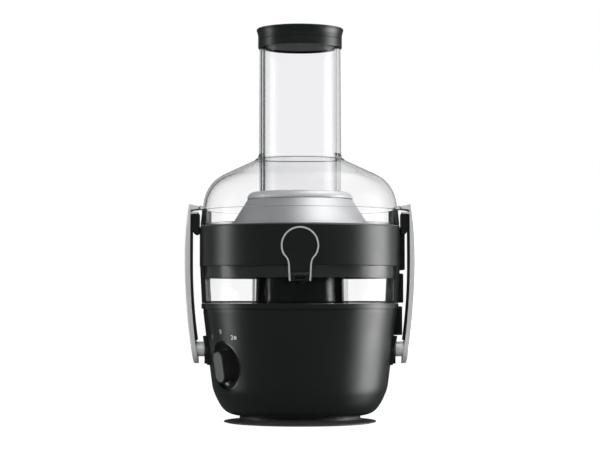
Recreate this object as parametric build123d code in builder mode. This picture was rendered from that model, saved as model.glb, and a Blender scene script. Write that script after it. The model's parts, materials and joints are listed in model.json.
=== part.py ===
"""Centrifugal juicer: motor base, pulp container, juice collector, filter, lid, pusher and two clamps.

Millimetres, +Z up. The origin is on the table plane, under the vertical spin axis. The spout faces -Y.
"""

from build123d import *
from math import cos, radians, sin
import os

os.makedirs("parts", exist_ok=True)

# ---------------------------------------------------------------- driving dimensions
gap = 0.3                # air between faces of different bodies
shaft_fit = 0.05         # radial clearance of a turning shaft
saucer_r = 82.0          # foot disc at the table
cord_neck_r = 64.5       # drum that the cord is wound on, between foot disc and housing
housing_bottom = 8.5
housing_top = 128.4
housing_wall = 2.6
rim_r = 106.2            # rim of the motor base
deck_z = 118.2           # underside of the deck that closes the motor base
deck_thick = 3.0
tower_r = 48.0           # drive tower that stands up through the pulp container
tower_wall = 2.8
tower_top = 175.0
container_top = 167.8
container_r = 107.8
container_wall = 2.6
band_bottom = 168.0      # juice collector's outer band
band_top = 210.6
band_r = 108.2
band_inner_r = 104.9
gutter_z = 176.0         # underside of the juice gutter
gutter_r = 84.9
gutter_top = 196.0
guard_top = 240.0        # steel cone that turns the juice down
guard_top_r = 56.7
guard_slope = 0.623      # radius gained per millimetre down
filter_bottom = 198.0
filter_top = 242.3
filter_r = 53.6
lid_bottom = 211.9
lid_r = 105.0
lid_wall = 3.0
neck_z = 285.6           # where the dome meets the feed tube
tube_r = 43.7
tube_wall = 2.6
tube_top = 417.0
tube_bottom = 206.0
pusher_r = 40.2
pusher_wall = 2.0
pusher_bottom = 214.0
cap_edge = 425.3         # flared edge of the pusher's cap, round its domed top
cap_top = 427.0
clamp_half_width = 18.0
clamp_gap_r = 108.8      # nothing on a closed clamp reaches further in than this, above its hinge
hinge_r = 97.0           # clamp hinge line, inside the bracket pocket
hinge_z = 79.3
post_r = 8.0
panel_half_angle = 19.0  # black side panels under the clamps
spine_start = 12.1       # grip rib behind the right clamp, degrees from +X
spine_stop = 25.5
spout_z = 188.0          # centre of the spout flap's round head
spout_r = 19.6
trim_width = 1.7
spout_hinge_y = -111.5
spout_hinge_z = 157.5
knob_z = 62.5
knob_azimuth = -145.0    # degrees from +X: front left
knob_tilt = 9.0
bowl_r = 24.9            # mouth of the bowl that the knob turns in
bowl_depth = 7.0
knob_r = 18.4            # turning floor of the bowl
grip_top = 6.6           # grip's face, out from the housing
shaft_r = 4.0


# ---------------------------------------------------------------- small helpers
def upright(angle):
    """Plane through the vertical axis: local x is the radius at this angle, local y is height."""
    out = (cos(radians(angle)), sin(radians(angle)), 0)
    return Plane(origin=(0, 0, 0), x_dir=out, z_dir=(out[1], -out[0], 0))


def turn(outline, start=0.0, stop=360.0, mode=Mode.ADD):
    """Turn a closed (radius, height) outline about the vertical axis, in the open part."""
    with BuildSketch(upright(start)) as section:
        with BuildLine():
            Polyline(*outline, close=True)
        make_face()
    revolve(section.sketch, axis=Axis.Z, revolution_arc=stop - start, mode=mode)


def tube(outer_r, inner_r, low, high, mode=Mode.ADD):
    """A plain upright ring or disc about the vertical axis, in the open part."""
    with BuildSketch(Plane.XY.offset(low)) as section:
        Circle(outer_r)
        if inner_r > 0:
            Circle(inner_r, mode=Mode.SUBTRACT)
    extrude(section.sketch, amount=high - low, mode=mode)


def posts(radius, places, low, high, mode=Mode.ADD):
    """Equal upright rods at the given (x, y) places, in the open part."""
    with BuildSketch(Plane.XY.offset(low)) as section:
        with Locations(*places):
            Circle(radius)
    extrude(section.sketch, amount=high - low, mode=mode)


def ring_places(radius, count, start=0.0):
    """(x, y) places spaced evenly on a circle about the vertical axis."""
    angles = [radians(start + 360.0 * i / count) for i in range(count)]
    return [(radius * cos(a), radius * sin(a)) for a in angles]


def keep(part, name):
    """Label one finished piece and write its file."""
    part.label = name
    export_step(part, f"parts/{name}.step")
    print(name, round(part.volume))


def mirrored(part):
    """The same piece on the -X side."""
    return mirror(part, about=Plane.YZ)


# ---------------------------------------------------------------- foot: cord spool, pad, screws
screw_places = ring_places(54.0, 4, 45.0)
pad_r = 58.0
pad_thick = 1.5

with BuildPart() as foot_spool:
    turn([(0, pad_thick), (pad_r + 0.3, pad_thick), (pad_r + 0.3, 0.7), (saucer_r - 3.0, 0.7),
          (saucer_r, 1.5), (saucer_r, 2.0), (saucer_r - 0.7, 2.5), (70.5, 2.9), (67.4, 3.6),
          (65.4, 5.2), (cord_neck_r, housing_bottom), (60.5, housing_bottom), (60.5, 4.5), (0, 4.5)])
    posts(4.5, screw_places, 4.5, housing_bottom)
    posts(3.8, screw_places, pad_thick, 3.6, Mode.SUBTRACT)
    posts(1.8, screw_places, pad_thick, housing_bottom, Mode.SUBTRACT)
keep(foot_spool.part, "foot_spool")

with BuildPart() as non_slip_pad:
    tube(pad_r, 0, 0, pad_thick)
keep(non_slip_pad.part, "non_slip_pad")

with BuildPart() as foot_screws:
    posts(3.6, screw_places, pad_thick + 0.2, 3.6)
    posts(1.75, screw_places, 3.6, 22.0)
keep(foot_screws.part, "foot_screws")


# ---------------------------------------------------------------- motor base housing
def housing_outline(inset):
    """Outer face of the housing from its floor to under the rim, moved in by the wall for the inside."""
    floor = housing_bottom + inset
    start = Line((46, floor), (66, floor))
    bowl = Spline((66, floor), (80.5 - inset, 13.4 + 0.8 * inset), (91 - inset, 29.6),
                  (96.9 - inset, 58.8), tangents=[(1, 0.1), (0.123, 1)])
    return start, bowl


with BuildPart() as housing_block:
    with BuildSketch(Plane.XZ):
        with BuildLine():
            Line((0, housing_bottom), (46, housing_bottom))
            housing_outline(0)
            Polyline((96.9, 58.8), (104.3, 119.0), (104.3, 122.5), (rim_r, 122.9),
                     (rim_r, housing_top - 0.5), (rim_r - 0.5, housing_top), (0, housing_top),
                     (0, housing_bottom))
        make_face()
    revolve(axis=Axis.Z)

with BuildPart() as housing_inside:
    with BuildSketch(Plane.XZ):
        with BuildLine():
            Line((0, housing_bottom + housing_wall), (46, housing_bottom + housing_wall))
            housing_outline(housing_wall)
            Polyline((96.9 - housing_wall, 58.8), (101.4, deck_z - 2), (101.4, deck_z),
                     (103.5, deck_z), (103.5, housing_top + 1), (0, housing_top + 1),
                     (0, housing_bottom + housing_wall))
        make_face()
    revolve(axis=Axis.Z)

knob_out = Vector(cos(radians(knob_azimuth)), sin(radians(knob_azimuth)), 0)
knob_side = Vector(-knob_out.Y, knob_out.X, 0)
knob_face_r = 97.4       # housing radius at the knob's height
knob_normal = knob_out * cos(radians(knob_tilt)) - Vector(0, 0, 1) * sin(radians(knob_tilt))
knob_centre = knob_out * knob_face_r + Vector(0, 0, knob_z)
knob_plane = Plane(origin=knob_centre, x_dir=knob_side, z_dir=knob_normal)
knob_section = Plane(origin=knob_centre, x_dir=knob_side, z_dir=knob_side.cross(knob_normal))
knob_axis = Axis(knob_centre, knob_normal)
bezel_r = bowl_r + 2.0

pocket_half = 8.7        # half width of the slot that the clamp post swings in
bracket_half_angle = 11.0


with BuildPart() as bracket_hole:
    turn([(90, 63.5), (112, 63.5), (112, 92.3), (90, 92.3)], -9.0, 9.0)
bracket_hole_left = mirrored(bracket_hole.part)

vent_angles = [60 + 6 * i for i in range(11)]

with BuildPart() as base_housing:
    add(housing_block.part)
    add(housing_inside.part, mode=Mode.SUBTRACT)
    tube(46.0, 0, housing_bottom - 1, housing_bottom + housing_wall + 1, Mode.SUBTRACT)
    posts(4.5, screw_places, housing_bottom + housing_wall - 0.2, 24.0)
    posts(1.8, screw_places, housing_bottom - 1, 23.0, Mode.SUBTRACT)
    add(bracket_hole.part, mode=Mode.SUBTRACT)
    add(bracket_hole_left, mode=Mode.SUBTRACT)
    with BuildSketch(knob_plane.offset(-20)):
        Circle(bezel_r + 0.1)
    extrude(amount=40, mode=Mode.SUBTRACT)
    # cooling slots low on the back
    for angle in vent_angles:
        with BuildSketch(Plane(origin=(0, 0, 45), x_dir=(-sin(radians(angle)), cos(radians(angle)), 0),
                               z_dir=(cos(radians(angle)), sin(radians(angle)), 0))):
            SlotOverall(26, 3.2, rotation=90)
        extrude(amount=120, mode=Mode.SUBTRACT)
    # cord outlet low on the back, over the cord groove
    with BuildSketch(Plane.XZ.offset(-60)):
        with Locations((0, 21.0)):
            Circle(5.6)
    extrude(amount=-40, mode=Mode.SUBTRACT)
keep(base_housing.part, "base_housing")

with BuildPart() as cord_bush:
    with BuildSketch(Plane.XZ.offset(-80.5)):
        with Locations((0, 21.0)):
            Circle(5.5)
            Circle(3.6, mode=Mode.SUBTRACT)
    extrude(amount=-7.5)
    with BuildSketch(Plane.XZ.offset(-78.0)):
        with Locations((0, 21.0)):
            Circle(8.0)
            Circle(3.6, mode=Mode.SUBTRACT)
    extrude(amount=-2.5)
    add(base_housing.part, mode=Mode.SUBTRACT)
keep(cord_bush.part, "cord_bush")


# ---------------------------------------------------------------- deck with the drive tower
damper_places = ring_places(62.0, 4, 45.0)
boss_bottom = 72.0
seal_r = 12.0

with BuildPart() as top_deck:
    turn([(tower_r - tower_wall, deck_z), (103.2, deck_z), (103.2, deck_z + deck_thick),
          (tower_r + 0.8, deck_z + deck_thick), (tower_r, deck_z + deck_thick + 0.8),
          (tower_r - 1.2, tower_top - 2.0), (tower_r - 3.2, tower_top), (seal_r + 0.1, tower_top),
          (seal_r + 0.1, tower_top - 3.0), (tower_r - tower_wall - 1.2, tower_top - 3.0)])
    posts(5.0, damper_places, boss_bottom, deck_z + 0.2)
    posts(1.6, damper_places, boss_bottom - 1, boss_bottom + 14, Mode.SUBTRACT)
keep(top_deck.part, "top_deck")

with BuildPart() as tower_seal:
    turn([(shaft_r + shaft_fit, tower_top - 2.6), (seal_r, tower_top - 2.6), (seal_r, tower_top),
          (seal_r + 2.4, tower_top), (seal_r + 2.4, tower_top + 1.2), (8.0, tower_top + 1.8),
          (shaft_r + shaft_fit, tower_top + 1.8)])
keep(tower_seal.part, "tower_seal")

# ---------------------------------------------------------------- clamp brackets and pins
pin_r = 3.0
pocket_back_r = 87.0

with BuildPart() as bracket:
    # pad that lies on the housing, following its taper
    turn([(97.0, 62.5), (100.2, 62.5), (104.8, 93.3), (101.6, 93.3)],
         -bracket_half_angle, bracket_half_angle)
    # cup through the wall, closed behind
    with BuildSketch(Plane.XY.offset(63.8)):
        with Locations(((pocket_back_r + 102.5) / 2, 0)):
            Rectangle(102.5 - pocket_back_r, 2 * pocket_half + 5.4)
    extrude(amount=28.2)
    add(base_housing.part, mode=Mode.SUBTRACT)
    # swing slot for the post, open outward
    with BuildSketch(Plane.XY.offset(65.9)):
        with Locations((99.5, 0)):
            Rectangle(21.0, 2 * pocket_half)
    extrude(amount=22.2, mode=Mode.SUBTRACT)
    with BuildSketch(Plane.XZ.offset(-20)):
        with Locations((hinge_r, hinge_z)):
            Circle(pin_r)
    extrude(amount=40, mode=Mode.SUBTRACT)
    mirror(about=Plane.YZ)
keep(bracket.part, "clamp_brackets")

with BuildPart() as pin:
    with BuildSketch(Plane.XZ.offset(-11.2)):
        with Locations((hinge_r, hinge_z)):
            Circle(pin_r)
    extrude(amount=22.4)
    mirror(about=Plane.YZ)
keep(pin.part, "clamp_pins")


# ---------------------------------------------------------------- control knob group
bowl_edge = 3.7          # the bowl's wall is straight down to here, where the housing curves away
plate_thick = 2.8
spindle_r = 3.0
spindle_reach = 14.0     # from the bowl's floor into the switch
bezel_back = bowl_depth + 5.0

with BuildPart() as knob_bezel:
    with BuildSketch(knob_plane.offset(-bezel_back)):
        Circle(bezel_r)
    extrude(amount=30)
    with BuildSketch(knob_section):
        with BuildLine():
            Polyline((knob_r + gap, -bowl_depth), (knob_r + gap, -bowl_depth - plate_thick - gap),
                     (0, -bowl_depth - plate_thick - gap), (0, 20), (bowl_r + 0.8, 20),
                     (bowl_r + 0.3, 0), (bowl_r, -bowl_edge))
            ThreePointArc((bowl_r, -bowl_edge), (bowl_r - 2.2, -bowl_depth + 1.1),
                          (knob_r + gap, -bowl_depth))
        make_face()
    revolve(axis=knob_axis, mode=Mode.SUBTRACT)
    with BuildSketch(knob_plane.offset(-bezel_back - 1)):
        Circle(spindle_r + shaft_fit)
    extrude(amount=8, mode=Mode.SUBTRACT)
    add(housing_block.part, mode=Mode.INTERSECT)
keep(knob_bezel.part, "knob_bezel")

with BuildPart() as control_knob:
    with BuildSketch(knob_plane.offset(-bowl_depth - plate_thick)):
        Circle(knob_r)
    extrude(amount=plate_thick)
    with BuildSketch(knob_plane.offset(-bowl_depth)):
        RectangleRounded(19.4, 35.6, 9.2)
    extrude(amount=bowl_depth + grip_top, taper=3)
    fillet(control_knob.faces().sort_by(knob_axis)[-1].edges(), 0.7)
    with BuildSketch(knob_plane.offset(-bowl_depth - spindle_reach)):
        Circle(spindle_r)
    extrude(amount=spindle_reach - plate_thick)
    with BuildSketch(knob_plane.offset(grip_top - 1.0)):
        RectangleRounded(15.9, 32.1, 7.8)
    extrude(amount=2.0, mode=Mode.SUBTRACT)
keep(control_knob.part, "control_knob")

with BuildPart() as knob_insert:
    with BuildSketch(knob_plane.offset(grip_top - 1.0)):
        RectangleRounded(15.8, 32.0, 7.75)
    extrude(amount=1.3, taper=8)
keep(knob_insert.part, "knob_insert")

switch_depth = 11.5
with BuildPart() as rotary_switch:
    with BuildSketch(knob_plane.offset(-bezel_back - 0.2 - switch_depth)):
        RectangleRounded(26.0, 26.0, 2.0)
    extrude(amount=switch_depth)
    with BuildSketch(knob_plane.offset(-bowl_depth - spindle_reach - 0.6)):
        Circle(spindle_r + shaft_fit)
    extrude(amount=20, mode=Mode.SUBTRACT)
    with BuildSketch(knob_plane.offset(-bezel_back - 0.2 - switch_depth - 3.5)):
        with GridLocations(7.0, 9.0, 3, 2):
            Rectangle(0.8, 4.0)
    extrude(amount=3.5)
keep(rotary_switch.part, "rotary_switch")


# ---------------------------------------------------------------- motor
core_low = 102.0
core_high = 142.0
stator_r = 43.0
bore_r = 24.8
armature_r = 24.0
bolt_places = ring_places(36.5, 4, 45.0)

with BuildPart() as stator_core:
    tube(stator_r, bore_r, core_low, core_high)
    with BuildSketch(Plane.XY.offset(core_low)):
        with PolarLocations(32.0, 2):
            RectangleRounded(8.0, 26.0, 3.0)
    extrude(amount=core_high - core_low, mode=Mode.SUBTRACT)
    posts(2.2, bolt_places, core_low - 1, core_high + 1, Mode.SUBTRACT)
keep(stator_core.part, "stator_core")

with BuildPart() as field_coils:
    for start in (50.0, 230.0):
        for low in (core_low - 10.0, core_high):
            turn([(27.0, low), (33.5, low), (33.5, low + 10.0), (27.0, low + 10.0)], start, start + 80)
keep(field_coils.part, "field_coils")

with BuildPart() as motor_shaft:
    tube(shaft_r, 0, 40.0, 190.0)
keep(motor_shaft.part, "motor_shaft")

with BuildPart() as rotor_core:
    tube(armature_r, shaft_r, core_low, core_high)
    with BuildSketch(Plane.XY.offset(core_low)):
        with PolarLocations(armature_r, 12):
            Rectangle(5.0, 2.0)
    extrude(amount=core_high - core_low, mode=Mode.SUBTRACT)
keep(rotor_core.part, "rotor_core")

with BuildPart() as rotor_windings:
    turn([(shaft_r, core_low - 13), (15, core_low - 13), (21, core_low - 8), (21, core_low),
          (shaft_r, core_low)])
    turn([(shaft_r, core_high), (21, core_high), (21, core_high + 6), (14, core_high + 10),
          (shaft_r, core_high + 10)])
keep(rotor_windings.part, "rotor_windings")

with BuildPart() as commutator:
    tube(14.0, shaft_r, 73.0, 88.0)
    with BuildSketch(Plane.XY.offset(73.0)):
        with PolarLocations(14.0, 24):
            Rectangle(3.0, 0.6)
    extrude(amount=15.0, mode=Mode.SUBTRACT)
keep(commutator.part, "commutator")

fan_low = 43.0
with BuildPart() as cooling_fan:
    tube(44.0, shaft_r, fan_low, fan_low + 2.0)
    tube(10.0, shaft_r, fan_low, fan_low + 14.0)
    with BuildSketch(Plane.XY.offset(fan_low + 1.0)):
        with PolarLocations(26.0, 9):
            Rectangle(34.0, 1.8, rotation=22)
    extrude(amount=12.0)
    tube(shaft_r, 0, fan_low - 1, fan_low + 15, Mode.SUBTRACT)
keep(cooling_fan.part, "cooling_fan")

bearing_r = 11.0
with BuildPart() as bearings:
    for low in (62.0, 156.0):
        tube(bearing_r, shaft_r + shaft_fit, low, low + 7.0)
        tube(bearing_r - 2.5, shaft_r + 1.8, low + 6.4, low + 8, Mode.SUBTRACT)
keep(bearings.part, "bearings")

with BuildPart() as lower_bracket:
    tube(bearing_r + 3.0, bearing_r, 60.0, 69.0)
    with BuildSketch(Plane.XY.offset(60.0)):
        for angle in (45, 135):
            Rectangle(136.0, 14.0, rotation=angle)
        Circle(bearing_r, mode=Mode.SUBTRACT)
    extrude(amount=4.0)
    tube(bearing_r, shaft_r + 1.0, 60.0, 62.0)
    posts(2.2, bolt_places, 59, 65, Mode.SUBTRACT)
    posts(2.4, damper_places, 59, 65, Mode.SUBTRACT)
keep(lower_bracket.part, "lower_bracket")

with BuildPart() as upper_bracket:
    tube(bearing_r + 3.0, bearing_r, 154.0, 164.0)
    with BuildSketch(Plane.XY.offset(154.0)):
        for angle in (45, 135):
            Rectangle(84.0, 12.0, rotation=angle)
        Circle(bearing_r, mode=Mode.SUBTRACT)
    extrude(amount=4.0)
    tube(bearing_r, shaft_r + 1.0, 154.0, 156.0)
    posts(2.2, bolt_places, 153, 159, Mode.SUBTRACT)
keep(upper_bracket.part, "upper_bracket")

with BuildPart() as motor_bolts:
    posts(2.0, bolt_places, 60.0, 158.0)
    posts(3.6, bolt_places, 158.0, 161.0)
    posts(3.6, bolt_places, 57.0, 60.0)
    # shoulders that keep the brackets off the core
    posts(3.8, bolt_places, 64.0, core_low)
    posts(3.8, bolt_places, core_high, 154.0)
keep(motor_bolts.part, "motor_bolts")

with BuildPart() as dampers:
    posts(7.0, damper_places, 64.0, boss_bottom)
    posts(1.6, damper_places, 64.0, boss_bottom, Mode.SUBTRACT)
keep(dampers.part, "dampers")

with BuildPart() as damper_screws:
    posts(1.5, damper_places, 60.0, boss_bottom + 12)
    posts(3.4, damper_places, 57.5, 60.0)
keep(damper_screws.part, "damper_screws")

with BuildPart() as brush_holders:
    with BuildSketch(Plane.XZ.offset(16.0)):
        with Locations((0, 80.0)):
            Rectangle(9.0, 12.0)
            Rectangle(6.0, 9.0, mode=Mode.SUBTRACT)
    extrude(amount=18.0)
    mirror(about=Plane.XZ)
keep(brush_holders.part, "brush_holders")

with BuildPart() as carbon_brushes:
    with BuildSketch(Plane.XZ.offset(14.3)):
        with Locations((0, 80.0)):
            Rectangle(5.8, 8.8)
    extrude(amount=17.0)
    mirror(about=Plane.XZ)
keep(carbon_brushes.part, "carbon_brushes")

with BuildPart() as circuit_board:
    with BuildSketch(Plane.YZ.offset(-78.0)):
        with Locations((0, 45.0)):
            Rectangle(52.0, 36.0)
    extrude(amount=1.6)
    with BuildSketch(Plane.YZ.offset(-76.4)):
        with Locations((-14.0, 47.0)):
            Rectangle(18.0, 22.0)
        with Locations((12.0, 40.0)):
            Circle(7.0)
        with Locations((14.0, 56.0)):
            Rectangle(10.0, 6.0)
    extrude(amount=12.0)
keep(circuit_board.part, "circuit_board")

with BuildPart() as safety_switch:
    with BuildSketch(Plane.XZ.offset(-10.0)):
        with Locations((80.0, 104.0)):
            RectangleRounded(10.0, 16.0, 1.0)
    extrude(amount=20.0)
    with BuildSketch(Plane.XZ.offset(-4.0)):
        with Locations((79.0, 113.5)):
            Rectangle(3.0, 3.4)
    extrude(amount=8.0)
keep(safety_switch.part, "safety_switch")


# ---------------------------------------------------------------- pulp container
container_floor = 121.6
foot_r = 102.8           # lower part, that stands inside the rim of the base
shoulder_r = 105.8
inner_wall_r = 51.8
guard_depth = 1.3
side_angles = (0.0, 180.0)

with BuildPart() as side_panels:
    for middle in side_angles:
        turn([(shoulder_r - guard_depth, 128.6), (shoulder_r, 128.6), (container_r, container_top),
              (container_r - guard_depth, container_top)],
             middle - panel_half_angle, middle + panel_half_angle)
keep(side_panels.part, "container_side_panels")

with BuildPart() as pulp_container:
    turn([(inner_wall_r - container_wall, container_floor), (foot_r, container_floor),
          (foot_r, 128.6), (shoulder_r, 128.6), (container_r, container_top),
          (container_r - container_wall, container_top), (shoulder_r - container_wall, 131.0),
          (foot_r - container_wall, 129.0), (foot_r - container_wall, container_floor + container_wall),
          (inner_wall_r, container_floor + container_wall), (inner_wall_r, 170.0),
          (inner_wall_r - container_wall, 170.0)])
    add(side_panels.part, mode=Mode.SUBTRACT)
keep(pulp_container.part, "pulp_container")


# ---------------------------------------------------------------- grip rib behind the right clamp
def spine(inner_low, inner_high, outer, low, high):
    """One length of the rib: its back lies on the wall, whose radius goes from inner_low to inner_high."""
    turn([(inner_low, low), (outer - 1.0, low), (outer, low + 1.0), (outer, high - 1.0),
          (outer - 1.0, high), (inner_high, high)], spine_start, spine_stop)


with BuildPart() as container_grip:
    spine(shoulder_r - 1.0, container_r - 1.0, 115.4, 129.0, 160.9)
    add(pulp_container.part, mode=Mode.SUBTRACT)
    add(side_panels.part, mode=Mode.SUBTRACT)
keep(container_grip.part, "container_grip")

with BuildPart() as base_grip:
    spine(99.0, 102.0, 114.1, 93.8, 125.2)
    add(housing_block.part, mode=Mode.SUBTRACT)
keep(base_grip.part, "base_grip")


# ---------------------------------------------------------------- juice collector
skirt_r = 104.7
skirt_bottom = 155.4
channel_half = 12.0

with BuildPart() as juice_collector:
    # outer band and the skirt that drops inside the container
    turn([(skirt_r - 2.6, skirt_bottom), (skirt_r - 0.6, skirt_bottom), (skirt_r, band_bottom),
          (band_r - 0.4, band_bottom), (band_r, band_bottom + 0.4), (band_r, band_top - 0.8),
          (band_r - 0.8, band_top), (band_inner_r, band_top), (band_inner_r, band_bottom + 3.0),
          (skirt_r - 2.4, band_bottom + 1.0)])
    # ring gutter that the juice falls into
    turn([(21.0, gutter_z), (gutter_r, gutter_z), (gutter_r, gutter_top), (gutter_r - 2.5, gutter_top),
          (gutter_r - 2.5, gutter_z + 3.0), (23.5, gutter_z + 3.0), (23.5, 190.0), (21.0, 190.0)])
    # arms that carry the gutter, between the pulp openings
    for angle in (0, 60, 120, 180, 240, 300):
        with BuildSketch(Plane(origin=(0, 0, 0), x_dir=(-sin(radians(angle)), cos(radians(angle)), 0),
                               z_dir=(cos(radians(angle)), sin(radians(angle)), 0)).offset(gutter_r - 1.0)):
            with Locations((0, 181.0)):
                Rectangle(5.0, 10.0)
        extrude(amount=band_inner_r + 1.0 - gutter_r)
    # juice channel from the gutter to the front window
    with BuildSketch(Plane.XZ.offset(gutter_r - 2.0)):
        with Locations((0, 184.0)):
            Rectangle(2 * channel_half + 5.0, 22.0)
    extrude(amount=band_inner_r + 1.2 - gutter_r)
    with BuildSketch(Plane.XZ.offset(gutter_r - 6.0)):
        with Locations((0, 186.5)):
            RectangleRounded(2 * channel_half, 15.6, 3.0)
    extrude(amount=40, mode=Mode.SUBTRACT)
keep(juice_collector.part, "juice_collector")

with BuildPart() as collector_grip:
    spine(band_r - 1.0, band_r - 1.0, 117.2, 164.6, 209.5)
    tube(band_r, 0, band_bottom - 8, band_top + 1, Mode.SUBTRACT)
    tube(container_r + 0.5, 0, band_bottom - 8, band_bottom, Mode.SUBTRACT)
keep(collector_grip.part, "collector_grip")

with BuildPart() as juice_guard:
    skirt_r_at_gutter = guard_top_r + guard_slope * (guard_top - gutter_top)
    thickness = 1.4
    turn([(guard_top_r - thickness, guard_top), (guard_top_r, guard_top),
          (skirt_r_at_gutter, gutter_top + 0.6), (gutter_r, gutter_top), (gutter_r - 4.2, gutter_top),
          (skirt_r_at_gutter - thickness - 1.4, gutter_top + 0.6)])
keep(juice_guard.part, "juice_guard")

with BuildPart() as lid_seal:
    turn([(band_inner_r, band_top), (band_r - 0.8, band_top), (band_r - 0.8, band_top + 1.0),
          (band_inner_r, band_top + 1.0)])
keep(lid_seal.part, "lid_seal")


# ---------------------------------------------------------------- spout: trim, hinge block, flap
def keyhole(inset):
    """Outline of the spout seen from the front: a round head on a narrow neck, moved in by inset."""
    head = spout_r - inset
    low = 151.5
    side = 12.2 - inset
    join = (16.6 - 0.85 * inset, spout_z - 10.4 + 0.5 * inset)
    left = [(-side + 0.9, low), (-side, 168.5), (-join[0], join[1])]
    right = [(side - 0.9, low), (side, 168.5), (join[0], join[1])]
    Line(left[0], right[0])
    Line(right[0], right[1])
    ThreePointArc(right[1], (side + 1.35, 173.8), right[2])
    ThreePointArc(right[2], (0, spout_z + head), left[2])
    ThreePointArc(left[2], (-side - 1.35, 173.8), left[1])
    Line(left[1], left[0])


trim_front_r = 112.0
flap_back_r = 108.7
flap_front_r = 111.4
hinge_half = 5.2

with BuildPart() as spout_trim:
    with BuildSketch(Plane.XZ.offset(100)):
        with BuildLine():
            keyhole(0)
        make_face()
        with BuildLine():
            keyhole(trim_width)
        make_face(mode=Mode.SUBTRACT)
    extrude(amount=30)
    with BuildSketch(Plane.XZ.offset(90)):
        with Locations((0, 148)):
            Rectangle(2 * (12.2 - trim_width) - 2, 16)
    extrude(amount=40, mode=Mode.SUBTRACT)
    tube(trim_front_r, 0, 140, 220, Mode.INTERSECT)
    tube(band_r, 0, 140, 220, Mode.SUBTRACT)
keep(spout_trim.part, "spout_trim")

with BuildPart() as spout_block:
    for side in (-1, 1):
        with BuildSketch(Plane.YZ.offset(side * (hinge_half + 0.25))):
            with Locations((spout_hinge_y, spout_hinge_z)):
                Circle(2.9)
            with Locations((spout_hinge_y + 0.2, spout_hinge_z - 3.0)):
                Rectangle(5.4, 6.0)
            with Locations((spout_hinge_y, spout_hinge_z)):
                Circle(1.2, mode=Mode.SUBTRACT)
        extrude(amount=side * 3.6)
    with BuildSketch(Plane.XY.offset(151.5)):
        with Locations((0, spout_hinge_y + 0.2)):
            RectangleRounded(18.0, 5.4, 1.2)
    extrude(amount=2.4)
keep(spout_block.part, "spout_hinge_block")

with BuildPart() as spout_pin:
    with BuildSketch(Plane.YZ.offset(-9.0)):
        with Locations((spout_hinge_y, spout_hinge_z)):
            Circle(1.2)
    extrude(amount=18.0)
keep(spout_pin.part, "spout_pin")

with BuildPart() as spout_flap:
    with BuildSketch(Plane.XZ.offset(100)):
        with BuildLine():
            keyhole(trim_width + 0.3)
        make_face()
        with Locations((0, 150)):
            Rectangle(40, 21.8, mode=Mode.SUBTRACT)
    extrude(amount=30)
    tube(flap_front_r, 0, 140, 220, Mode.INTERSECT)
    tube(flap_back_r, 0, 140, 220, Mode.SUBTRACT)
    # hinge barrel and its web
    with BuildSketch(Plane.YZ.offset(-hinge_half + 0.1)):
        with Locations((spout_hinge_y, spout_hinge_z)):
            Circle(2.6)
        with Locations((spout_hinge_y + 1.3, spout_hinge_z + 2.6)):
            Rectangle(2.2, 5.0)
    extrude(amount=2 * hinge_half - 0.2)
    with BuildSketch(Plane.YZ.offset(-10)):
        with Locations((spout_hinge_y, spout_hinge_z)):
            Circle(1.2 + shaft_fit)
    extrude(amount=20, mode=Mode.SUBTRACT)
keep(spout_flap.part, "spout_flap")


# ---------------------------------------------------------------- filter, disc and drive coupling
coupling_low = 178.5
coupling_high = 191.0
teeth = 6

with BuildPart() as drive_coupling:
    tube(12.0, shaft_r, coupling_low, coupling_high)
    with BuildSketch(Plane.XY.offset(coupling_low + 2.0)):
        with PolarLocations(12.0, teeth):
            Rectangle(5.0, 4.0)
    extrude(amount=coupling_high - coupling_low - 2.0)
    tube(shaft_r, 0, coupling_low - 1, coupling_high + 1, Mode.SUBTRACT)
keep(drive_coupling.part, "drive_coupling")

with BuildPart() as filter_hub:
    tube(19.0, 0, 182.0, 197.0)
    tube(filter_r - 4.0, 0, 194.0, 197.0)
    with BuildSketch(Plane.XY.offset(181.0)):
        Circle(12.4)
        with PolarLocations(12.0, teeth):
            Rectangle(5.8, 4.8)
    extrude(amount=10.4, mode=Mode.SUBTRACT)
    tube(5.0, 0, 181.0, 192.0, Mode.SUBTRACT)
keep(filter_hub.part, "filter_hub")

sieve_wall = 0.9
with BuildPart() as filter_basket:
    turn([(43.6, filter_bottom - 1.0), (filter_r - 3.6, filter_bottom - 1.0),
          (filter_r, filter_top), (filter_r - sieve_wall, filter_top),
          (filter_r - 3.6 - sieve_wall, filter_bottom + 0.2), (43.6, filter_bottom + 0.2)])
keep(filter_basket.part, "filter_basket")

rim_top = 248.4
rim_inner_r = filter_r - 2.8
with BuildPart() as filter_rim:
    with BuildSketch(Plane.XZ):
        with BuildLine():
            # over the basket's edge, down outside it, and up over a sloping shoulder
            Polyline((rim_inner_r, rim_top), (rim_inner_r, filter_top), (filter_r + gap, filter_top),
                     (filter_r + gap, guard_top + 0.6), (guard_top_r, guard_top + 0.6),
                     (guard_top_r + 0.3, guard_top + 1.6))
            ThreePointArc((guard_top_r + 0.3, guard_top + 1.6), (54.9, 246.3), (rim_inner_r, rim_top))
        make_face()
    revolve(axis=Axis.Z)
keep(filter_rim.part, "filter_rim")

with BuildPart() as grating_disc:
    tube(43.0, 6.2, 197.0, 198.6)
    for row, count in ((14.0, 8), (21.0, 12), (28.0, 16), (35.0, 20)):
        with BuildSketch(Plane.XY.offset(198.4)):
            with PolarLocations(row, count):
                Rectangle(1.2, 3.4, rotation=35)
        extrude(amount=1.9)
keep(grating_disc.part, "grating_disc")

with BuildPart() as disc_nut:
    turn([(0, 197.0), (6.0, 197.0), (6.0, 198.7), (9.0, 198.7), (8.4, 200.8), (4.0, 203.2), (0, 203.6)])
keep(disc_nut.part, "disc_nut")


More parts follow.
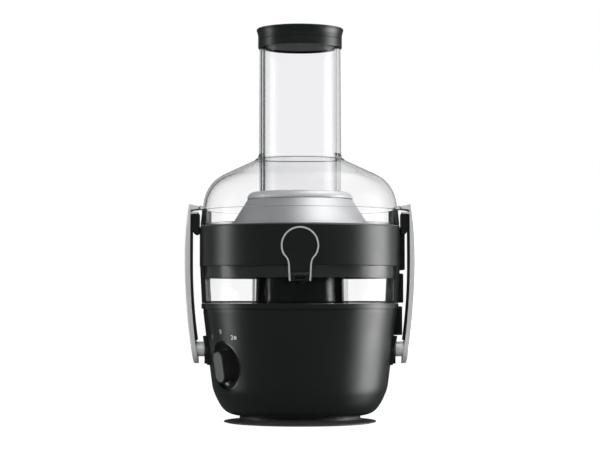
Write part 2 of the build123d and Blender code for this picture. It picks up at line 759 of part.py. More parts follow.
# ---------------------------------------------------------------- lid with the feed tube
def dome(inset):
    """Lid's section from the feed tube over the dome to the wall, moved in by inset."""
    top = Polyline((44.3, neck_z + 4 - inset), (46.2, neck_z - 0.9 - inset), (49.7, 282.3 - 1.1 * inset),
                   (80.5 - 0.3 * inset, 267.9 - inset))
    shoulder = Spline((80.5 - 0.3 * inset, 267.9 - inset), (92.9 - 0.8 * inset, 259.6 - 0.7 * inset),
                      (99.9 - inset, 249.9 - 0.3 * inset), (104.8 - inset, 231.6),
                      tangents=[(2.13, -1), (0.14, -1)])
    return top, shoulder


def under_dome(outer_inset):
    """Solid of everything under the dome's face, down to the lid's edge."""
    with BuildSketch(Plane.XZ) as section:
        with BuildLine():
            Line((0, neck_z + 4 - outer_inset), (44.3, neck_z + 4 - outer_inset))
            dome(outer_inset)
            Polyline((104.8 - outer_inset, 231.6), (lid_r + 0.2 - outer_inset, 229.4),
                     (lid_r + 0.2 - outer_inset, 200.0), (0, 200.0), (0, neck_z + 4 - outer_inset))
        make_face()
    return section.sketch


with BuildPart() as lid:
    revolve(under_dome(0), axis=Axis.Z)
    revolve(under_dome(lid_wall), axis=Axis.Z, mode=Mode.SUBTRACT)
    tube(120, 0, 190, lid_bottom, Mode.SUBTRACT)
    # rim flange and the lip that drops into the collector
    turn([(lid_r - 2.8, lid_bottom), (107.2, lid_bottom), (107.2, lid_bottom + 1.2),
          (lid_r, lid_bottom + 2.0), (lid_r - 2.8, lid_bottom + 2.0)])
    turn([(101.8, 205.5), (104.3, 205.5), (104.3, lid_bottom + 2.0), (102.2, lid_bottom + 2.0),
          (101.8, lid_bottom)])
    # feed tube, down to just over the grating disc
    turn([(tube_r - tube_wall, tube_bottom), (tube_r - 0.2, tube_bottom), (44.3, neck_z - 6),
          (44.3, neck_z + 1), (tube_r, tube_top), (tube_r - tube_wall, tube_top)])
    tube(tube_r - tube_wall, 0, 200.0, tube_top + 1, Mode.SUBTRACT)
keep(lid.part, "lid")

with BuildPart() as lid_outside:
    revolve(under_dome(-0.02), axis=Axis.Z)

ear_top = 229.3
with BuildPart() as lid_ears:
    for middle in side_angles:
        turn([(104.0, lid_bottom + 2.2), (107.3, lid_bottom + 1.4), (105.6, ear_top), (104.0, ear_top)],
             middle - panel_half_angle, middle + panel_half_angle)
    add(lid_outside.part, mode=Mode.SUBTRACT)
    add(lid.part, mode=Mode.SUBTRACT)
keep(lid_ears.part, "lid_ears")

catch_half_angle = 9.0
with BuildPart() as lid_catches:
    for middle in side_angles:
        turn([(104.0, ear_top), (107.8, ear_top), (clamp_gap_r - gap, ear_top + 0.8),
              (clamp_gap_r - gap, 233.2), (104.0, 232.2)],
             middle - catch_half_angle, middle + catch_half_angle)
    add(lid_outside.part, mode=Mode.SUBTRACT)
keep(lid_catches.part, "lid_catches")


# ---------------------------------------------------------------- pusher
with BuildPart() as pusher_tube:
    turn([(0, pusher_bottom), (pusher_r - 3.0, pusher_bottom), (pusher_r, pusher_bottom + 3.0),
          (pusher_r, 418.2), (pusher_r - pusher_wall, 418.2),
          (pusher_r - pusher_wall, pusher_bottom + 3.6), (pusher_r - 3.6, pusher_bottom + 2.2),
          (0, pusher_bottom + 2.2)])
keep(pusher_tube.part, "pusher_tube")

with BuildPart() as pusher_cap:
    with BuildSketch(Plane.XZ):
        with BuildLine():
            Polyline((0, 418.2), (tube_r + 0.4, 418.2), (tube_r + 0.4, 404.5), (45.2, 404.5), (45.4, 405.2),
                     (45.4, 412.8), (45.0, 413.1), (45.0, 413.6), (45.4, 413.9), (45.4, 418.0),
                     (46.6, 422.6), (47.0, 423.2), (47.0, cap_edge - 0.6), (46.3, cap_edge))
            Spline((46.3, cap_edge), (0, cap_top), tangents=[(-1, 0.07), (-1, 0)])
            Line((0, cap_top), (0, 418.2))
        make_face()
    revolve(axis=Axis.Z)
keep(pusher_cap.part, "pusher_cap")

with BuildPart() as pusher_plug:
    turn([(0, 406.0), (36.0, 406.0), (pusher_r - pusher_wall - 0.1, 408.0),
          (pusher_r - pusher_wall - 0.1, 418.2), (34.0, 418.2), (34.0, 409.0), (0, 409.0)])
keep(pusher_plug.part, "pusher_plug")


# ---------------------------------------------------------------- clamps
arm_top = 234.8
ledge_low = 224.6        # thin ledge between the arm's hooked top and the black hook block

with BuildPart() as clamp_arm:
    with BuildSketch(Plane.XZ.offset(-clamp_half_width)):
        with BuildLine():
            outer = Spline((119.3, arm_top), (123.3, 196.0), (123.2, 152.0), (119.9, 107.0), (113.8, 62.5))
            inner = Spline((117.4, 228.5), (117.8, 190.0), (117.4, 152.0), (114.4, 107.0), (108.9, 62.5))
            Line(outer @ 1, inner @ 1)
            Polyline(outer @ 0, (clamp_gap_r, arm_top - 2.0), (clamp_gap_r, arm_top - 5.0),
                     (114.4, arm_top - 5.6), inner @ 0)
        make_face()
    extrude(amount=2 * clamp_half_width)
    # round lower end, seen from the side
    with BuildSketch(Plane.YZ.offset(100)):
        with Locations((0, 82.0)):
            Circle(clamp_half_width)
        with Locations((0, 165.0)):
            Rectangle(2 * clamp_half_width, 166.0)
    extrude(amount=30, mode=Mode.INTERSECT)
    fillet(clamp_arm.faces().sort_by(Axis.X)[-1].edges(), 1.3)
    with BuildSketch(Plane.XZ.offset(-clamp_half_width + 1.5)):
        with Locations((114.0, ledge_low + 1.0)):
            Rectangle(8.0, 2.0)
    extrude(amount=2 * clamp_half_width - 3.0)
    # post that joins the arm to its hinge, with the hinge eye
    with BuildSketch(Plane.YZ.offset(hinge_r)):
        with Locations((0, hinge_z)):
            Circle(post_r)
    extrude(amount=16.0)
    with BuildSketch(Plane.XZ.offset(-post_r)):
        with Locations((hinge_r, hinge_z)):
            Circle(post_r - 0.8)
    extrude(amount=2 * post_r)
    with BuildSketch(Plane.XZ.offset(-20)):
        with Locations((hinge_r, hinge_z)):
            Circle(pin_r + shaft_fit)
    extrude(amount=40, mode=Mode.SUBTRACT)
keep(clamp_arm.part, "clamp_arm_right")
keep(mirrored(clamp_arm.part), "clamp_arm_left")

with BuildPart() as clamp_liner:
    with BuildSketch(Plane.XZ.offset(-clamp_half_width + 1.5)):
        with BuildLine():
            back = Spline((118.2, 224.0), (118.4, 190.0), (118.0, 152.0), (116.0, 117.0), (113.0, 89.0))
            front = Spline((116.3, 224.0), (116.4, 190.0), (116.1, 152.0), (113.9, 117.0), (110.6, 89.0))
            Line(back @ 0, front @ 0)
            Line(back @ 1, front @ 1)
        make_face()
    extrude(amount=2 * clamp_half_width - 3.0)
    add(clamp_arm.part, mode=Mode.SUBTRACT)
keep(clamp_liner.part, "clamp_liner_right")
keep(mirrored(clamp_liner.part), "clamp_liner_left")

with BuildPart() as clamp_hook:
    with BuildSketch(Plane.XZ.offset(-15.0)):
        with BuildLine():
            Polyline((clamp_gap_r, ledge_low), (clamp_gap_r, 204.0), (110.4, 202.4), (113.0, 202.4),
                     (115.8, 206.5), (115.8, ledge_low), close=True)
        make_face()
    extrude(amount=30.0)
    fillet(clamp_hook.edges().filter_by(Axis.Y).group_by(Axis.Z)[0], 0.8)
keep(clamp_hook.part, "clamp_hook_right")
keep(mirrored(clamp_hook.part), "clamp_hook_left")
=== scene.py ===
"""Centrifugal juicer: materials, fine pieces, studio and camera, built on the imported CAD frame."""

import bmesh
import bpy
import json
from math import atan2, cos, pi, radians, sin
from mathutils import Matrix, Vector
from mathutils.bvhtree import BVHTree


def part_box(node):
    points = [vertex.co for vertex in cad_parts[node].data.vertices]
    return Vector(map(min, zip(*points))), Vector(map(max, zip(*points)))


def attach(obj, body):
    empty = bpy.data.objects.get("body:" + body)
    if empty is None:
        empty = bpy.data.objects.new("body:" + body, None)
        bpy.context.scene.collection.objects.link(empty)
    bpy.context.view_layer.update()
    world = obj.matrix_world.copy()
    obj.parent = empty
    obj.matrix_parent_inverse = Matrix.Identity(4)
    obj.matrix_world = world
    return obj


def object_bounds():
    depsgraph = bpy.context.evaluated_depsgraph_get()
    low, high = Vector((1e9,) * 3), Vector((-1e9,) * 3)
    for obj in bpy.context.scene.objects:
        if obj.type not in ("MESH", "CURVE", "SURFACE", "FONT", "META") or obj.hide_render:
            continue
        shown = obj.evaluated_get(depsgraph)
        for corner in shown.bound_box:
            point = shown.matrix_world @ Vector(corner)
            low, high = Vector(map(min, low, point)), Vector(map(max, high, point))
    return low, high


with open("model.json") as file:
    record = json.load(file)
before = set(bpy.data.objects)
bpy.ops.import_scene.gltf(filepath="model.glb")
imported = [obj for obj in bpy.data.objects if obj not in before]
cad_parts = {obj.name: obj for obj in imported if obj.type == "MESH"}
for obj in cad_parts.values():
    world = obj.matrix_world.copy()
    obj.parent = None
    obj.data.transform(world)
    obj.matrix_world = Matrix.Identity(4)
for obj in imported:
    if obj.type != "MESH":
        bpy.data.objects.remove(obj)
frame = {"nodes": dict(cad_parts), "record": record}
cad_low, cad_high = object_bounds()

MM = 0.001
nodes = frame["nodes"]
record = frame["record"]


# ---------------------------------------------------------------- camera
AXIS_DISTANCE = 2.106    # metres from the lens to the spin axis
EYE_HEIGHT = 0.131
LOOK_UP = radians(2.23)
FOCAL_LENGTH = 117.0     # mm
SENSOR_WIDTH = 36.0      # mm
FAR_CLIP = 50.0


def front_camera():
    """Camera in front of the spout, at the height of the pulp container."""
    data = bpy.data.cameras.new("camera")
    data.lens = FOCAL_LENGTH
    data.sensor_width = SENSOR_WIDTH
    data.clip_end = FAR_CLIP
    camera = bpy.data.objects.new("camera", data)
    camera.location = (0.0, -AXIS_DISTANCE, EYE_HEIGHT)
    camera.rotation_euler = (radians(90) + LOOK_UP, 0.0, 0.0)
    bpy.context.scene.collection.objects.link(camera)
    bpy.context.scene.camera = camera


front_camera()


# ---------------------------------------------------------------- node helpers
HALF = 0.5


def math_node(tree, operation, first, second=None):
    """One Math node; each input is a socket or a number."""
    node = tree.nodes.new("ShaderNodeMath")
    node.operation = operation
    for slot, value in enumerate((first, second)):
        if value is None:
            continue
        if isinstance(value, (int, float)):
            node.inputs[slot].default_value = value
        else:
            tree.links.new(value, node.inputs[slot])
    return node.outputs[0]


def spread(tree, source, low, high, from_low=0.3, from_high=0.7, smooth=False):
    """Map from_low..from_high onto low..high."""
    node = tree.nodes.new("ShaderNodeMapRange")
    if smooth:
        node.interpolation_type = "SMOOTHSTEP"
    node.inputs["From Min"].default_value = from_low
    node.inputs["From Max"].default_value = from_high
    node.inputs["To Min"].default_value = low
    node.inputs["To Max"].default_value = high
    tree.links.new(source, node.inputs["Value"])
    return node.outputs["Result"]


def straight_view(tree):
    """1 for a ray from the lens with no bounce on its way, apart from passing through clear plastic."""
    path = tree.nodes.new("ShaderNodeLightPath")
    bounces = math_node(tree, "ADD", path.outputs["Diffuse Depth"], path.outputs["Glossy Depth"])
    return math_node(tree, "LESS_THAN", bounces, HALF)


# ---------------------------------------------------------------- lamps
WHITE_PER_AREA = 3.7     # watts per square metre at which a softbox looks white
MIDDLE = Vector((0.0, 0.0, (cad_low.z + cad_high.z) / 2))


def edge_fade(tree, edge):
    """1 in the middle of a softbox, falling smoothly to 0 over its outer share."""
    where = tree.nodes.new("ShaderNodeNewGeometry")
    split = tree.nodes.new("ShaderNodeSeparateXYZ")
    tree.links.new(where.outputs["Parametric"], split.inputs[0])
    fades = []
    for axis in ("X", "Y"):
        off_middle = math_node(tree, "ABSOLUTE", math_node(tree, "SUBTRACT", split.outputs[axis], HALF))
        fades.append(spread(tree, off_middle, 1.0, 0.0, HALF - edge, HALF, True))
    return math_node(tree, "MULTIPLY", *fades)


def soft_light(name, place, wide, high, watts, edge):
    """A softbox that faces the object and fades towards its edges.

    Seen straight through clear plastic, it looks like the white backdrop.
    """
    data = bpy.data.lights.new(name, "AREA")
    data.shape = "RECTANGLE"
    data.size = wide
    data.size_y = high
    data.energy = watts
    data.use_nodes = True
    tree = data.node_tree
    glow = [n for n in tree.nodes if n.type == "EMISSION"][0]
    fade = edge_fade(tree, edge)
    path = tree.nodes.new("ShaderNodeLightPath")
    straight = math_node(tree, "MULTIPLY", straight_view(tree), path.outputs["Is Transmission Ray"])
    white = math_node(tree, "MULTIPLY", straight, WHITE_PER_AREA * wide * high / watts)
    faded = math_node(tree, "MULTIPLY", fade, math_node(tree, "SUBTRACT", 1.0, straight))
    tree.links.new(math_node(tree, "ADD", white, faded), glow.inputs["Strength"])
    lamp = bpy.data.objects.new(name, data)
    lamp.location = place
    lamp.rotation_euler = (MIDDLE - Vector(place)).to_track_quat("-Z", "Y").to_euler()
    lamp.visible_camera = False
    bpy.context.scene.collection.objects.link(lamp)
    return lamp


soft_light("key_right", place=(1.35, 0.12, 0.12), wide=1.5, high=2.3, watts=92, edge=0.5)
soft_light("rim_left", place=(-1.35, 0.05, 0.25), wide=0.6, high=1.8, watts=16, edge=0.45)
soft_light("top_right", place=(0.5, 0.0, 1.42), wide=3.4, high=1.7, watts=60, edge=0.5)
front = soft_light("front_fill", place=(-0.3, -2.6, 1.5), wide=2.0, high=1.6, watts=130, edge=0.3)
front.visible_glossy = False
front.visible_transmission = False


# ---------------------------------------------------------------- room
BACKDROP_WAY = (0.24, 0.97)      # its direction from the object, along X and Y
BACKDROP_RIM = (0.78, 0.95)      # cosines off that direction between which it fades in
BACKDROP_SHARE = 0.75
ROOM_COLOUR = (0.9, 1.0, 0.99, 1.0)
ROOM_STRENGTH = 0.075
WHITE = (1.0, 1.0, 1.0, 1.0)


def backdrop_through_plastic(tree):
    """Up to 1 for a ray that left clear plastic towards the white backdrop behind the object."""
    path = tree.nodes.new("ShaderNodeLightPath")
    passed = math_node(tree, "GREATER_THAN", path.outputs["Transmission Depth"], HALF)
    way = tree.nodes.new("ShaderNodeTexCoord")
    split = tree.nodes.new("ShaderNodeSeparateXYZ")
    tree.links.new(way.outputs["Generated"], split.inputs[0])
    back = math_node(tree, "MULTIPLY", split.outputs["Y"], BACKDROP_WAY[1])
    right = math_node(tree, "MULTIPLY", split.outputs["X"], BACKDROP_WAY[0])
    behind = spread(tree, math_node(tree, "ADD", back, right), 0.0, BACKDROP_SHARE, *BACKDROP_RIM, True)
    return math_node(tree, "MULTIPLY", passed, behind)


def background(tree, colour, strength):
    """One Background shader."""
    node = tree.nodes.new("ShaderNodeBackground")
    node.inputs["Color"].default_value = colour
    node.inputs["Strength"].default_value = strength
    return node.outputs[0]


def studio_world():
    """White backdrop for the lens and through clear plastic, and a dim room for everything else."""
    world = bpy.data.worlds.new("studio")
    bpy.context.scene.world = world
    world.use_nodes = True
    tree = world.node_tree
    tree.nodes.clear()
    out = tree.nodes.new("ShaderNodeOutputWorld")
    mix = tree.nodes.new("ShaderNodeMixShader")
    white_share = math_node(tree, "MAXIMUM", straight_view(tree), backdrop_through_plastic(tree))
    tree.links.new(white_share, mix.inputs[0])
    tree.links.new(background(tree, ROOM_COLOUR, ROOM_STRENGTH), mix.inputs[1])
    tree.links.new(background(tree, WHITE, 1.0), mix.inputs[2])
    tree.links.new(mix.outputs[0], out.inputs["Surface"])


studio_world()
bpy.context.scene.view_settings.view_transform = "Standard"


# ---------------------------------------------------------------- material helpers
def new_material(name):
    """A node material with one Principled shader; returns (material, tree, shader, output)."""
    mat = bpy.data.materials.new(name)
    mat.use_nodes = True
    tree = mat.node_tree
    tree.nodes.clear()
    out = tree.nodes.new("ShaderNodeOutputMaterial")
    shader = tree.nodes.new("ShaderNodeBsdfPrincipled")
    tree.links.new(shader.outputs[0], out.inputs["Surface"])
    return mat, tree, shader, out


def noise(tree, scale, detail=4.0, rough=0.5, stretch=(1, 1, 1)):
    """Noise in the object's own metres, optionally stretched along an axis."""
    place = tree.nodes.new("ShaderNodeTexCoord")
    mapping = tree.nodes.new("ShaderNodeMapping")
    mapping.inputs["Scale"].default_value = stretch
    texture = tree.nodes.new("ShaderNodeTexNoise")
    texture.inputs["Scale"].default_value = scale
    texture.inputs["Detail"].default_value = detail
    texture.inputs["Roughness"].default_value = rough
    tree.links.new(place.outputs["Object"], mapping.inputs["Vector"])
    tree.links.new(mapping.outputs["Vector"], texture.inputs["Vector"])
    return texture.outputs["Fac"]


def round_axis(tree):
    """Height and angle about the spin axis of the shaded point, in metres and radians."""
    place = tree.nodes.new("ShaderNodeTexCoord")
    split = tree.nodes.new("ShaderNodeSeparateXYZ")
    tree.links.new(place.outputs["Object"], split.inputs[0])
    angle = math_node(tree, "ARCTAN2", split.outputs["Y"], split.outputs["X"])
    return split.outputs["Z"], angle


def blend_colour(tree, source, first, second, low=0.3, high=0.7):
    """Colour that runs from first to second as the source goes from low to high."""
    ramp = tree.nodes.new("ShaderNodeValToRGB")
    ramp.color_ramp.elements[0].position = low
    ramp.color_ramp.elements[0].color = (*first, 1.0)
    ramp.color_ramp.elements[1].position = high
    ramp.color_ramp.elements[1].color = (*second, 1.0)
    tree.links.new(source, ramp.inputs["Fac"])
    return ramp.outputs["Color"]


def add_bump(tree, shader, height, depth, strength=1.0):
    """Fine relief of the given depth in metres."""
    bump = tree.nodes.new("ShaderNodeBump")
    bump.inputs["Strength"].default_value = strength
    bump.inputs["Distance"].default_value = depth
    tree.links.new(height, bump.inputs["Height"])
    tree.links.new(bump.outputs["Normal"], shader.inputs["Normal"])


COLOUR_DRIFT = 14.0      # noise scales, per metre
GLOSS_DRIFT = 40.0
HAZE_DRIFT = 30.0
FLOW_WAVES = 9.0
HAZE_RANGE = 0.02        # how much the roughness of clear plastic varies
WAVE_STRENGTH = 0.1


def moulded(name, dark, light, rough_low, rough_high, grain=2600.0, depth=0.00002):
    """Moulded plastic: faint colour drift, a spark-eroded grain and a roughness that varies slightly."""
    mat, tree, shader, _ = new_material(name)
    tree.links.new(blend_colour(tree, noise(tree, COLOUR_DRIFT), dark, light), shader.inputs["Base Color"])
    tree.links.new(spread(tree, noise(tree, GLOSS_DRIFT), rough_low, rough_high), shader.inputs["Roughness"])
    add_bump(tree, shader, noise(tree, grain, 2.0), depth)
    return mat


def metal(name, dark, light, rough_low, rough_high, stretch, scale, depth=0.00001, metallic=1.0):
    """Metal or metallic plastic, with a grain drawn out along the axis of the smallest stretch."""
    mat, tree, shader, _ = new_material(name)
    shader.inputs["Metallic"].default_value = metallic
    grain = noise(tree, scale, 3.0, 0.6, stretch)
    tree.links.new(blend_colour(tree, grain, dark, light), shader.inputs["Base Color"])
    tree.links.new(spread(tree, grain, rough_low, rough_high), shader.inputs["Roughness"])
    add_bump(tree, shader, grain, depth)
    return mat


def clear_plastic(name, tint, rough, ior, wave):
    """Clear moulded plastic with faint flow waves; light from the lamps passes through it."""
    mat, tree, shader, out = new_material(name)
    shader.inputs["Base Color"].default_value = (*tint, 1.0)
    shader.inputs["Transmission Weight"].default_value = 1.0
    shader.inputs["IOR"].default_value = ior
    haze = spread(tree, noise(tree, HAZE_DRIFT), rough, rough + HAZE_RANGE)
    tree.links.new(haze, shader.inputs["Roughness"])
    add_bump(tree, shader, noise(tree, FLOW_WAVES, 1.0), wave, WAVE_STRENGTH)
    path = tree.nodes.new("ShaderNodeLightPath")
    through = tree.nodes.new("ShaderNodeBsdfTransparent")
    through.inputs["Color"].default_value = (*tint, 1.0)
    mix = tree.nodes.new("ShaderNodeMixShader")
    tree.links.new(path.outputs["Is Shadow Ray"], mix.inputs[0])
    tree.links.new(shader.outputs[0], mix.inputs[1])
    tree.links.new(through.outputs[0], mix.inputs[2])
    tree.links.new(mix.outputs[0], out.inputs["Surface"])
    return mat


TURNED_METALLIC = 0.85
PATCHES_PER_RADIAN = 2.2
RINGS_PER_METRE = 2200.0
RING_DEPTH = 0.006 * MM


def turned_steel(name, dark, light, rough_low, rough_high):
    """Steel spun on a lathe: fine rings about the spin axis, slowly uneven round it."""
    mat, tree, shader, _ = new_material(name)
    shader.inputs["Metallic"].default_value = TURNED_METALLIC
    height, angle = round_axis(tree)
    join = tree.nodes.new("ShaderNodeCombineXYZ")
    tree.links.new(math_node(tree, "MULTIPLY", angle, PATCHES_PER_RADIAN), join.inputs["X"])
    tree.links.new(math_node(tree, "MULTIPLY", height, RINGS_PER_METRE), join.inputs["Y"])
    texture = tree.nodes.new("ShaderNodeTexNoise")
    texture.inputs["Scale"].default_value = 1.0
    texture.inputs["Detail"].default_value = 4.0
    tree.links.new(join.outputs[0], texture.inputs["Vector"])
    grain = texture.outputs["Fac"]
    tree.links.new(blend_colour(tree, grain, dark, light), shader.inputs["Base Color"])
    tree.links.new(spread(tree, grain, rough_low, rough_high), shader.inputs["Roughness"])
    add_bump(tree, shader, grain, RING_DEPTH)
    return mat


# near black: painted shade standing in for the dark seen through the etched holes
HOLE_SHADE_COLOUR = (0.02, 0.02, 0.02)
SHEET_COLOUR = (0.66, 0.66, 0.67)
HOLE_ROUGH = 0.7
SHEET_ROUGH = 0.24
HOLE_EDGE = (0.22, 0.3)          # from solid hole to solid sheet, in shares of a cell
HOLE_DEPTH = 0.2 * MM


def off_cell_middle(tree, position):
    """Squared distance from the middle of a cell of a unit grid, along one axis."""
    offset = math_node(tree, "SUBTRACT", math_node(tree, "FRACT", position), HALF)
    return math_node(tree, "POWER", math_node(tree, "ABSOLUTE", offset), 2.0)


def sieve_steel(name, columns_per_radian, rows_per_metre):
    """Thin steel with etched holes in staggered rows: rough dots on a bright sheet, the holes coloured near
    black as painted shade seen through them.
    """
    mat, tree, shader, _ = new_material(name)
    shader.inputs["Metallic"].default_value = 1.0
    height, angle = round_axis(tree)
    row = math_node(tree, "MULTIPLY", height, rows_per_metre)
    stagger = math_node(tree, "MULTIPLY", math_node(tree, "FLOOR", row), HALF)
    column = math_node(tree, "ADD", math_node(tree, "MULTIPLY", angle, columns_per_radian), stagger)
    squares = math_node(tree, "ADD", off_cell_middle(tree, column), off_cell_middle(tree, row))
    sheet = spread(tree, math_node(tree, "SQRT", squares), 0.0, 1.0, *HOLE_EDGE)
    colour = blend_colour(tree, sheet, HOLE_SHADE_COLOUR, SHEET_COLOUR, 0.0, 1.0)
    tree.links.new(colour, shader.inputs["Base Color"])
    tree.links.new(spread(tree, sheet, HOLE_ROUGH, SHEET_ROUGH, 0.0, 1.0), shader.inputs["Roughness"])
    add_bump(tree, shader, sheet, HOLE_DEPTH)
    return mat


# ---------------------------------------------------------------- materials
MATERIALS = {
    "black_satin": moulded("black_satin", (0.0062, 0.0078, 0.0076), (0.0078, 0.0094, 0.0092), 0.3, 0.36),
    "black_gloss": moulded("black_gloss", (0.006, 0.006, 0.007), (0.009, 0.009, 0.010), 0.10, 0.16,
                           900.0, 0.000004),
    "grey_insert": moulded("grey_insert", (0.1, 0.104, 0.107), (0.13, 0.134, 0.138), 0.32, 0.42),
    "black_liner": moulded("black_liner", (0.010, 0.010, 0.010), (0.015, 0.015, 0.015), 0.42, 0.5),
    "rubber": moulded("rubber", (0.014, 0.014, 0.014), (0.022, 0.022, 0.021), 0.72, 0.85, 1400.0, 0.00005),
    "clear": clear_plastic("clear", (0.97, 0.97, 0.975), 0.01, 1.13, 0.0001),
    "satin_aluminium": metal("satin_aluminium", (0.76, 0.76, 0.755), (0.9, 0.9, 0.895), 0.3, 0.4,
                             (1, 1, 0.03), 1400.0, 0.000006, 0.5),
    "guard_steel": turned_steel("guard_steel", (0.60, 0.60, 0.61), (0.68, 0.68, 0.69), 0.44, 0.52),
    "steel": metal("steel", (0.52, 0.52, 0.53), (0.62, 0.62, 0.63), 0.22, 0.32, (1, 1, 0.2), 700.0),
    "rim_plastic": metal("rim_plastic", (0.56, 0.57, 0.58), (0.62, 0.63, 0.64), 0.4, 0.48, (1, 1, 1), 500.0,
                         0.000004, 0.5),
    "trim_chrome": metal("trim_chrome", (0.76, 0.76, 0.77), (0.82, 0.82, 0.83), 0.14, 0.2, (1, 1, 1), 300.0,
                         0.000004, 0.6),
    "core_iron": metal("core_iron", (0.22, 0.22, 0.23), (0.3, 0.3, 0.31), 0.4, 0.55,
                       (0.02, 0.02, 1), 2000.0),
    "copper": metal("copper", (0.62, 0.27, 0.13), (0.78, 0.4, 0.2), 0.25, 0.4, (1, 1, 0.1), 1500.0),
    "cast_bracket": metal("cast_bracket", (0.5, 0.5, 0.5), (0.6, 0.6, 0.6), 0.4, 0.55, (1, 1, 1), 400.0),
    "fan_plastic": moulded("fan_plastic", (0.03, 0.03, 0.03), (0.045, 0.045, 0.045), 0.4, 0.5),
    "brass": metal("brass", (0.6, 0.44, 0.18), (0.72, 0.55, 0.25), 0.22, 0.34, (1, 1, 1), 500.0),
    "carbon": moulded("carbon", (0.02, 0.02, 0.02), (0.035, 0.035, 0.035), 0.6, 0.75),
    "board": moulded("board", (0.01, 0.06, 0.035), (0.015, 0.085, 0.05), 0.35, 0.5),
}
PRINT = moulded("dial_print", (0.82, 0.82, 0.82), (0.9, 0.9, 0.9), 0.4, 0.5)
# grey tint is painted shade: the clear beads are darkened to show as dark lines on the lid
SHADED_BEAD_PLASTIC = clear_plastic("clear_edge_painted_shade", (0.55, 0.57, 0.58), 0.08, 1.3, 0.0001)
# lighter than black_satin as painted light: the saucer is coloured grey for the light its rim catches
LIT_FOOT_PLASTIC = moulded("foot_plastic_painted_light", (0.045, 0.047, 0.047), (0.052, 0.054, 0.054), 0.4, 0.48)
SIEVE = sieve_steel("sieve_steel", columns_per_radian=52.0, rows_per_metre=900.0)

for part in record["subparts"]:
    cad = nodes[part["node"]]
    cad.data.materials.clear()
    cad.data.materials.append(MATERIALS[part["material_slot"]])
nodes["foot_spool"].data.materials[0] = LIT_FOOT_PLASTIC
nodes["filter_basket"].data.materials[0] = SIEVE


# ---------------------------------------------------------------- rounded edges on the CAD pieces
SHARP_EDGE = radians(40)
BEVEL_STEPS = 2
ROUNDED = {     # bevel width in mm: the pieces that have it
    0.5: ["base_grip", "container_grip", "collector_grip", "clamp_hook_right", "clamp_hook_left"],
    0.3: ["clamp_brackets", "lid_ears", "lid_catches", "spout_hinge_block", "container_side_panels"],
    0.2: ["spout_trim", "spout_flap", "clamp_liner_right", "clamp_liner_left", "knob_insert"],
}
for width, names in ROUNDED.items():
    for name in names:
        bevel = nodes[name].modifiers.new("rounded", "BEVEL")
        bevel.width = width * MM
        bevel.segments = BEVEL_STEPS
        bevel.limit_method = "ANGLE"
        bevel.angle_limit = SHARP_EDGE
        bevel.harden_normals = True


# ---------------------------------------------------------------- helpers for fine pieces
RAY_START = 0.3          # metres from the spin axis, well outside the object
LATHE_STEPS = 128
BEAD_STEPS = 8


def add_piece(name, mesh, material, body):
    """A new piece, with its finish, on its body."""
    mesh.materials.append(material)
    piece = bpy.data.objects.new(name, mesh)
    bpy.context.scene.collection.objects.link(piece)
    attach(piece, body)


def lathe_mesh(name, outline):
    """Closed ring: a (radius, height) outline turned about the spin axis, shaded smooth."""
    bm = bmesh.new()
    rings = []
    for i in range(LATHE_STEPS):
        angle = 2 * pi * i / LATHE_STEPS
        rings.append([bm.verts.new((r * cos(angle), r * sin(angle), z)) for r, z in outline])
    for i, ring in enumerate(rings):
        after = rings[(i + 1) % LATHE_STEPS]
        for j in range(len(outline)):
            k = (j + 1) % len(outline)
            bm.faces.new((ring[j], after[j], after[k], ring[k]))
    bmesh.ops.recalc_face_normals(bm, faces=bm.faces)
    mesh = bpy.data.meshes.new(name)
    bm.to_mesh(mesh)
    bm.free()
    mesh.shade_smooth()
    return mesh


def bead(radius, height, thick):
    """Round section of a thin ring."""
    turns = [2 * pi * i / BEAD_STEPS for i in range(BEAD_STEPS)]
    return [(radius + thick * cos(a), height + thick * sin(a)) for a in turns]


def surface_of(name):
    """Ray target made from a CAD node's mesh."""
    mesh = nodes[name].data
    return BVHTree.FromPolygons([v.co for v in mesh.vertices], [p.vertices for p in mesh.polygons])


def outer_radius(surface, angle, height):
    """Distance from the spin axis to a CAD surface, looking in from outside."""
    out = Vector((cos(angle), sin(angle), 0.0))
    hit = surface.ray_cast(out * RAY_START + Vector((0, 0, height)), -out)[0]
    return Vector((hit.x, hit.y)).length


# ---------------------------------------------------------------- dial marks
INK_THICK = 0.06 * MM
INK_LIFT = 0.04 * MM             # middle of the ink above the housing
FIGURE_SIZE = 6.8 * MM
FIGURE_REACH = 36 * MM           # from the knob's middle to the figures
FIGURE_SWING = 0.82              # share of the knob's turn at which figures 1 and 2 stand
FIGURE_SHIFT = -1.2 * MM         # figure 2 makes room for its dots
DOTS_SHIFT = 3.4 * MM
DOT_RADIUS = 0.55 * MM
DOT_RING = 1.5 * MM
DOT_STEPS = 16
WRAP_RADIUS = 0.1                # radius of the housing near the knob


def text_mesh(character):
    """Flat mesh of one centred figure."""
    curve = bpy.data.curves.new("figure", "FONT")
    curve.body = character
    curve.size = FIGURE_SIZE
    curve.align_x = "CENTER"
    curve.align_y = "CENTER"
    curve.extrude = INK_THICK / 2
    holder = bpy.data.objects.new("figure", curve)
    bpy.context.scene.collection.objects.link(holder)
    depsgraph = bpy.context.evaluated_depsgraph_get()
    mesh = bpy.data.meshes.new_from_object(holder.evaluated_get(depsgraph))
    bpy.data.objects.remove(holder)
    return mesh


def dot_mesh():
    """Flat round dot."""
    bm = bmesh.new()
    bmesh.ops.create_cone(bm, cap_ends=True, segments=DOT_STEPS, radius1=DOT_RADIUS, radius2=DOT_RADIUS,
                          depth=INK_THICK)
    mesh = bpy.data.meshes.new("dot")
    bm.to_mesh(mesh)
    bm.free()
    return mesh


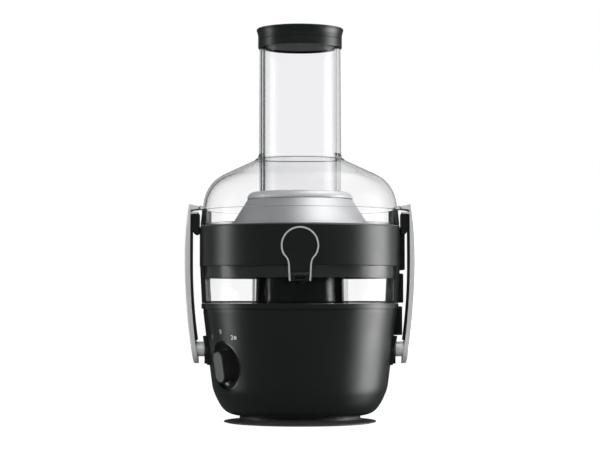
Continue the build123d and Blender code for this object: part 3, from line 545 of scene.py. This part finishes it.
def dial_figures(swing):
    """Each printed mark as (mesh, turn about the knob's middle, shift along, shift up)."""
    figures = [
        (text_mesh("1"), -swing, 0.0, 0.0),
        (text_mesh("0"), 0.0, 0.0, 0.0),
        (text_mesh("2"), swing, FIGURE_SHIFT, 0.0),
    ]
    for i in range(6):
        turn = i * pi / 3
        figures.append((dot_mesh(), swing, DOTS_SHIFT + DOT_RING * cos(turn), DOT_RING * sin(turn)))
    figures.append((dot_mesh(), swing, DOTS_SHIFT, 0.0))
    return figures


def dial_marks():
    """Figures 0, 1 and 2 printed on the housing round the knob, with a dot pattern by the 2."""
    knob = [j for j in record["behaviour"]["joints"] if j["name"] == "knob_turn"][0]
    middle_angle = atan2(knob["pos_m"][1], knob["pos_m"][0])
    middle_height = knob["pos_m"][2]
    housing = surface_of("base_housing")
    bm = bmesh.new()
    for mesh, turn, shift_along, shift_up in dial_figures(FIGURE_SWING * radians(knob["range_deg"][1])):
        old = len(bm.verts)
        bm.from_mesh(mesh)
        bm.verts.ensure_lookup_table()
        for vert in bm.verts[old:]:
            along = FIGURE_REACH * sin(turn) + shift_along + vert.co.x
            height = middle_height + FIGURE_REACH * cos(turn) + shift_up + vert.co.y
            angle = middle_angle + along / WRAP_RADIUS
            radius = outer_radius(housing, angle, height) + INK_LIFT + vert.co.z
            vert.co = (radius * cos(angle), radius * sin(angle), height)
    mesh = bpy.data.meshes.new("dial_marks")
    bm.to_mesh(mesh)
    bm.free()
    add_piece("dial_marks", mesh, PRINT, "base")


# ---------------------------------------------------------------- lines on the lid
LID_BEADS = (     # name, height above the lid's lowest point, radius of the section
    ("lid_bead", 23.2 * MM, 0.28 * MM),
    ("neck_bead", 78.2 * MM, 0.45 * MM),
)
BEAD_SINK = 0.1 * MM


def lid_lines():
    """Moulded bead round the dome's wall, and the step where the dome meets the feed tube, in clear plastic
    tinted grey as a painted shade line.
    """
    lid = surface_of("lid")
    lid_low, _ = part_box("lid")
    for name, up, thick in LID_BEADS:
        height = lid_low.z + up
        radius = outer_radius(lid, radians(90), height) - BEAD_SINK
        add_piece(name, lathe_mesh(name, bead(radius, height, thick)), SHADED_BEAD_PLASTIC, "lid")


dial_marks()
lid_lines()


# ---------------------------------------------------------------- floor
FLOOR_SIZE = 60.0
FLOOR_DROP = 0.2 * MM
FLOOR_COLOUR = (0.42, 0.42, 0.42, 1.0)
FLOOR_ROUGH = 0.9
FLOOR_GLOW = 1.15
GLOW_SHARE = 0.9


def pale_floor():
    """Pale floor that the camera sees almost white, as in a light tent."""
    bpy.ops.mesh.primitive_plane_add(size=FLOOR_SIZE, location=(0, 0, -FLOOR_DROP))
    plane = bpy.context.active_object
    plane.name = "floor"
    mat, tree, shader, out = new_material("floor")
    shader.inputs["Base Color"].default_value = FLOOR_COLOUR
    shader.inputs["Roughness"].default_value = FLOOR_ROUGH
    glow = tree.nodes.new("ShaderNodeEmission")
    glow.inputs["Strength"].default_value = FLOOR_GLOW
    mix = tree.nodes.new("ShaderNodeMixShader")
    tree.links.new(math_node(tree, "MULTIPLY", straight_view(tree), GLOW_SHARE), mix.inputs[0])
    tree.links.new(shader.outputs[0], mix.inputs[1])
    tree.links.new(glow.outputs[0], mix.inputs[2])
    tree.links.new(mix.outputs[0], out.inputs["Surface"])
    plane.data.materials.append(mat)
    plane.visible_glossy = False


pale_floor()
